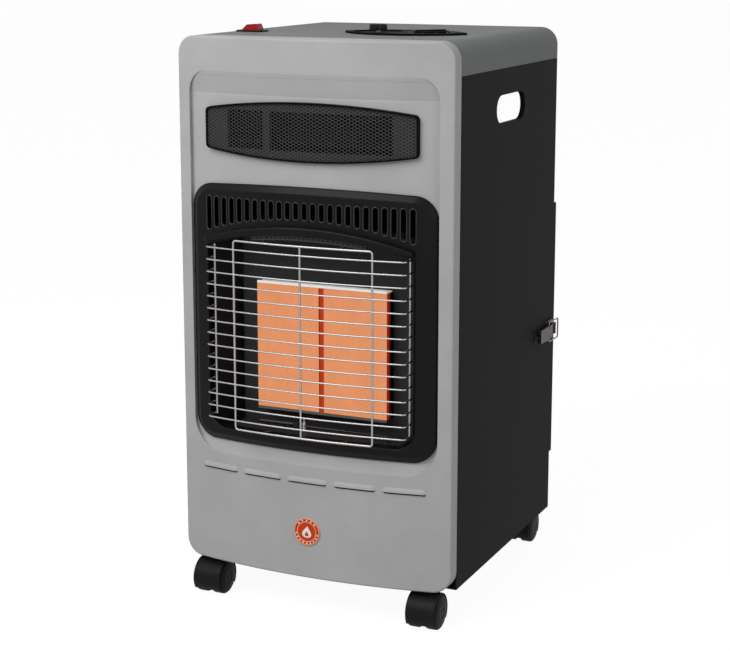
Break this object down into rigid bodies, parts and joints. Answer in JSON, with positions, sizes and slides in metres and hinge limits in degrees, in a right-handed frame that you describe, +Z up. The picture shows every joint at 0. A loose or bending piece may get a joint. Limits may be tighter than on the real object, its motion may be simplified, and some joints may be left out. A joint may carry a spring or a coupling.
{
  "type": "portable gas cabinet heater",
  "caption": "Mobile cabinet heater: gas radiant burner behind a wire guard, fan heater above it, top controls, bottle bay with a rear door, twin-wheel castors.",
  "frame": {"origin": "on the floor, under the middle of the box round the heater", "axes": "+Z up, front faces -Y, +X to the right as seen from the front"},
  "size_m": [0.431, 0.4786, 0.8252],
  "materials": {
    "light_grey_paint": "smooth light grey powder coat",
    "grey_paint": "smooth mid grey powder coat",
    "black_paint": "satin black powder coat",
    "black_enamel": "glossy black enamel",
    "inner_steel": "dull galvanised sheet",
    "dark_steel": "heat-dulled dark sheet",
    "bright_steel": "bright stainless sheet",
    "guard_chrome": "bright plated wire",
    "black_mesh": "satin black perforated sheet",
    "black_plastic": "fine matt black plastic",
    "gloss_black_plastic": "gloss black plastic",
    "red_plastic": "translucent dark red plastic",
    "badge_enamel": "orange-red with pale rings",
    "ceramic": "perforated ceramic, glowing orange",
    "white_ceramic": "glazed white insulator",
    "brass": "machined brass",
    "valve_alloy": "die-cast alloy",
    "pipe_steel": "drawn steel tube",
    "dark_bracket": "heat-tinted steel",
    "duct_sheet": "dark grey sheet",
    "element_alloy": "dark fin block",
    "latch_steel": "brown-grey plated steel",
    "screw_steel": "zinc-plated steel",
    "wheel_plastic": "hard black nylon",
    "rubber_black": "black rubber"
  },
  "bodies": {
    "cabinet": {"front_panel": "light_grey_paint", "top_cover": "grey_paint", "left_side_panel": "black_paint", "right_side_panel": "black_paint", "base_pan": "black_paint", "rear_frame": "black_paint", "heat_shield": "inner_steel", "grille_frame": "black_enamel", "grille_mesh": "black_mesh", "fan_duct": "duct_sheet", "heating_element": "element_alloy", "fan_motor": "black_plastic", "surround": "black_enamel", "hood": "black_enamel", "wire_guard": "guard_chrome", "reflector": "dark_steel", "burner_housing": "bright_steel", "ceramic_plaques": "ceramic", "plaque_frame": "bright_steel", "gas_manifold": "pipe_steel", "injectors": "brass", "pilot_burner": "dark_bracket", "thermocouple": "dark_bracket", "ignition_electrode": "white_ceramic", "gas_valve": "valve_alloy", "burner_pipe": "pipe_steel", "hose_nozzle": "brass", "control_plate": "gloss_black_plastic", "fan_switch": "black_plastic", "rocker_housing": "black_plastic", "badge": "badge_enamel", "door_hinges": "black_paint", "latch_base": "latch_steel", "mains_gland": "rubber_black", "screws": "screw_steel"},
    "fan": {"fan_wheel": "black_plastic"},
    "valve_shaft": {"valve_shaft": "bright_steel"},
    "gas_knob": {"gas_knob": "black_plastic"},
    "fan_dial": {"fan_dial": "black_plastic"},
    "rocker": {"rocker_button": "red_plastic"},
    "rear_door": {"rear_door": "black_paint", "latch_keeper": "latch_steel"},
    "latch_lever": {"latch_lever": "latch_steel"},
    "latch_bail": {"latch_bail": "latch_steel"},
    "front_left_castor": {"front_left_castor_hood": "black_plastic", "front_left_castor_axle": "screw_steel"},
    "front_left_castor_left_wheel": {"front_left_castor_left_wheel": "wheel_plastic"},
    "front_left_castor_right_wheel": {"front_left_castor_right_wheel": "wheel_plastic"},
    "front_right_castor": {"front_right_castor_hood": "black_plastic", "front_right_castor_axle": "screw_steel"},
    "front_right_castor_left_wheel": {"front_right_castor_left_wheel": "wheel_plastic"},
    "front_right_castor_right_wheel": {"front_right_castor_right_wheel": "wheel_plastic"},
    "rear_left_castor": {"rear_left_castor_hood": "black_plastic", "rear_left_castor_axle": "screw_steel"},
    "rear_left_castor_left_wheel": {"rear_left_castor_left_wheel": "wheel_plastic"},
    "rear_left_castor_right_wheel": {"rear_left_castor_right_wheel": "wheel_plastic"},
    "rear_right_castor": {"rear_right_castor_hood": "black_plastic", "rear_right_castor_axle": "screw_steel"},
    "rear_right_castor_left_wheel": {"rear_right_castor_left_wheel": "wheel_plastic"},
    "rear_right_castor_right_wheel": {"rear_right_castor_right_wheel": "wheel_plastic"}
  },
  "joints": [
    {"name": "fan_spin", "type": "hinge", "parent": "cabinet", "child": "fan", "pos_m": [0, -0.151, 0.687], "axis": [1, 0, 0], "continuous": true},
    {"name": "gas_knob_turn", "type": "hinge", "parent": "cabinet", "child": "valve_shaft", "pos_m": [0.0275, -0.036, 0.812], "axis": [0, 0, 1], "range_deg": [0, 210]},
    {"name": "gas_knob_press", "type": "slide", "parent": "valve_shaft", "child": "gas_knob", "axis": [0, 0, -1], "range_m": [0, 0.003], "stiffness_N_per_m": 1500, "springref_m": -0.001},
    {"name": "fan_dial_turn", "type": "hinge", "parent": "cabinet", "child": "fan_dial", "pos_m": [0.108, -0.036, 0.812], "axis": [0, 0, 1], "range_deg": [-45, 90]},
    {"name": "rocker_tilt", "type": "hinge", "parent": "cabinet", "child": "rocker", "pos_m": [-0.1545, -0.073, 0.812], "axis": [0, 1, 0], "range_deg": [0, 14]},
    {"name": "rear_door_swing", "type": "hinge", "parent": "cabinet", "child": "rear_door", "pos_m": [-0.2115, 0.231, 0.3455], "axis": [0, 0, 1], "range_deg": [0, 110]},
    {"name": "latch_lever_turn", "type": "hinge", "parent": "cabinet", "child": "latch_lever", "pos_m": [0.2122, 0.211, 0.347], "axis": [0, 0, 1], "range_deg": [0, 120]},
    {"name": "latch_bail_turn", "type": "hinge", "parent": "latch_lever", "child": "latch_bail", "pos_m": [0.2129, 0.197, 0.347], "axis": [0, 0, 1], "range_deg": [-120, 0]},
    {"name": "front_left_swivel", "type": "hinge", "parent": "cabinet", "child": "front_left_castor", "pos_m": [-0.168, -0.161, 0.06], "axis": [0, 0, 1], "continuous": true},
    {"name": "front_left_castor_left_wheel_roll", "type": "hinge", "parent": "front_left_castor", "child": "front_left_castor_left_wheel", "pos_m": [-0.168, -0.185, 0.025], "axis": [1, 0, 0], "continuous": true},
    {"name": "front_left_castor_right_wheel_roll", "type": "hinge", "parent": "front_left_castor", "child": "front_left_castor_right_wheel", "pos_m": [-0.168, -0.185, 0.025], "axis": [1, 0, 0], "continuous": true},
    {"name": "front_right_swivel", "type": "hinge", "parent": "cabinet", "child": "front_right_castor", "pos_m": [0.168, -0.161, 0.06], "axis": [0, 0, 1], "continuous": true},
    {"name": "front_right_castor_left_wheel_roll", "type": "hinge", "parent": "front_right_castor", "child": "front_right_castor_left_wheel", "pos_m": [0.168, -0.185, 0.025], "axis": [1, 0, 0], "continuous": true},
    {"name": "front_right_castor_right_wheel_roll", "type": "hinge", "parent": "front_right_castor", "child": "front_right_castor_right_wheel", "pos_m": [0.168, -0.185, 0.025], "axis": [1, 0, 0], "continuous": true},
    {"name": "rear_left_swivel", "type": "hinge", "parent": "cabinet", "child": "rear_left_castor", "pos_m": [-0.168, 0.188, 0.06], "axis": [0, 0, 1], "continuous": true},
    {"name": "rear_left_castor_left_wheel_roll", "type": "hinge", "parent": "rear_left_castor", "child": "rear_left_castor_left_wheel", "pos_m": [-0.168, 0.212, 0.025], "axis": [1, 0, 0], "continuous": true},
    {"name": "rear_left_castor_right_wheel_roll", "type": "hinge", "parent": "rear_left_castor", "child": "rear_left_castor_right_wheel", "pos_m": [-0.168, 0.212, 0.025], "axis": [1, 0, 0], "continuous": true},
    {"name": "rear_right_swivel", "type": "hinge", "parent": "cabinet", "child": "rear_right_castor", "pos_m": [0.168, 0.188, 0.06], "axis": [0, 0, 1], "continuous": true},
    {"name": "rear_right_castor_left_wheel_roll", "type": "hinge", "parent": "rear_right_castor", "child": "rear_right_castor_left_wheel", "pos_m": [0.168, 0.212, 0.025], "axis": [1, 0, 0], "continuous": true},
    {"name": "rear_right_castor_right_wheel_roll", "type": "hinge", "parent": "rear_right_castor", "child": "rear_right_castor_right_wheel", "pos_m": [0.168, 0.212, 0.025], "axis": [1, 0, 0], "continuous": true}
  ],
  "couplings": [
    {"joint": "latch_bail_turn", "follows": "latch_lever_turn", "ratio": -1}
  ]
}
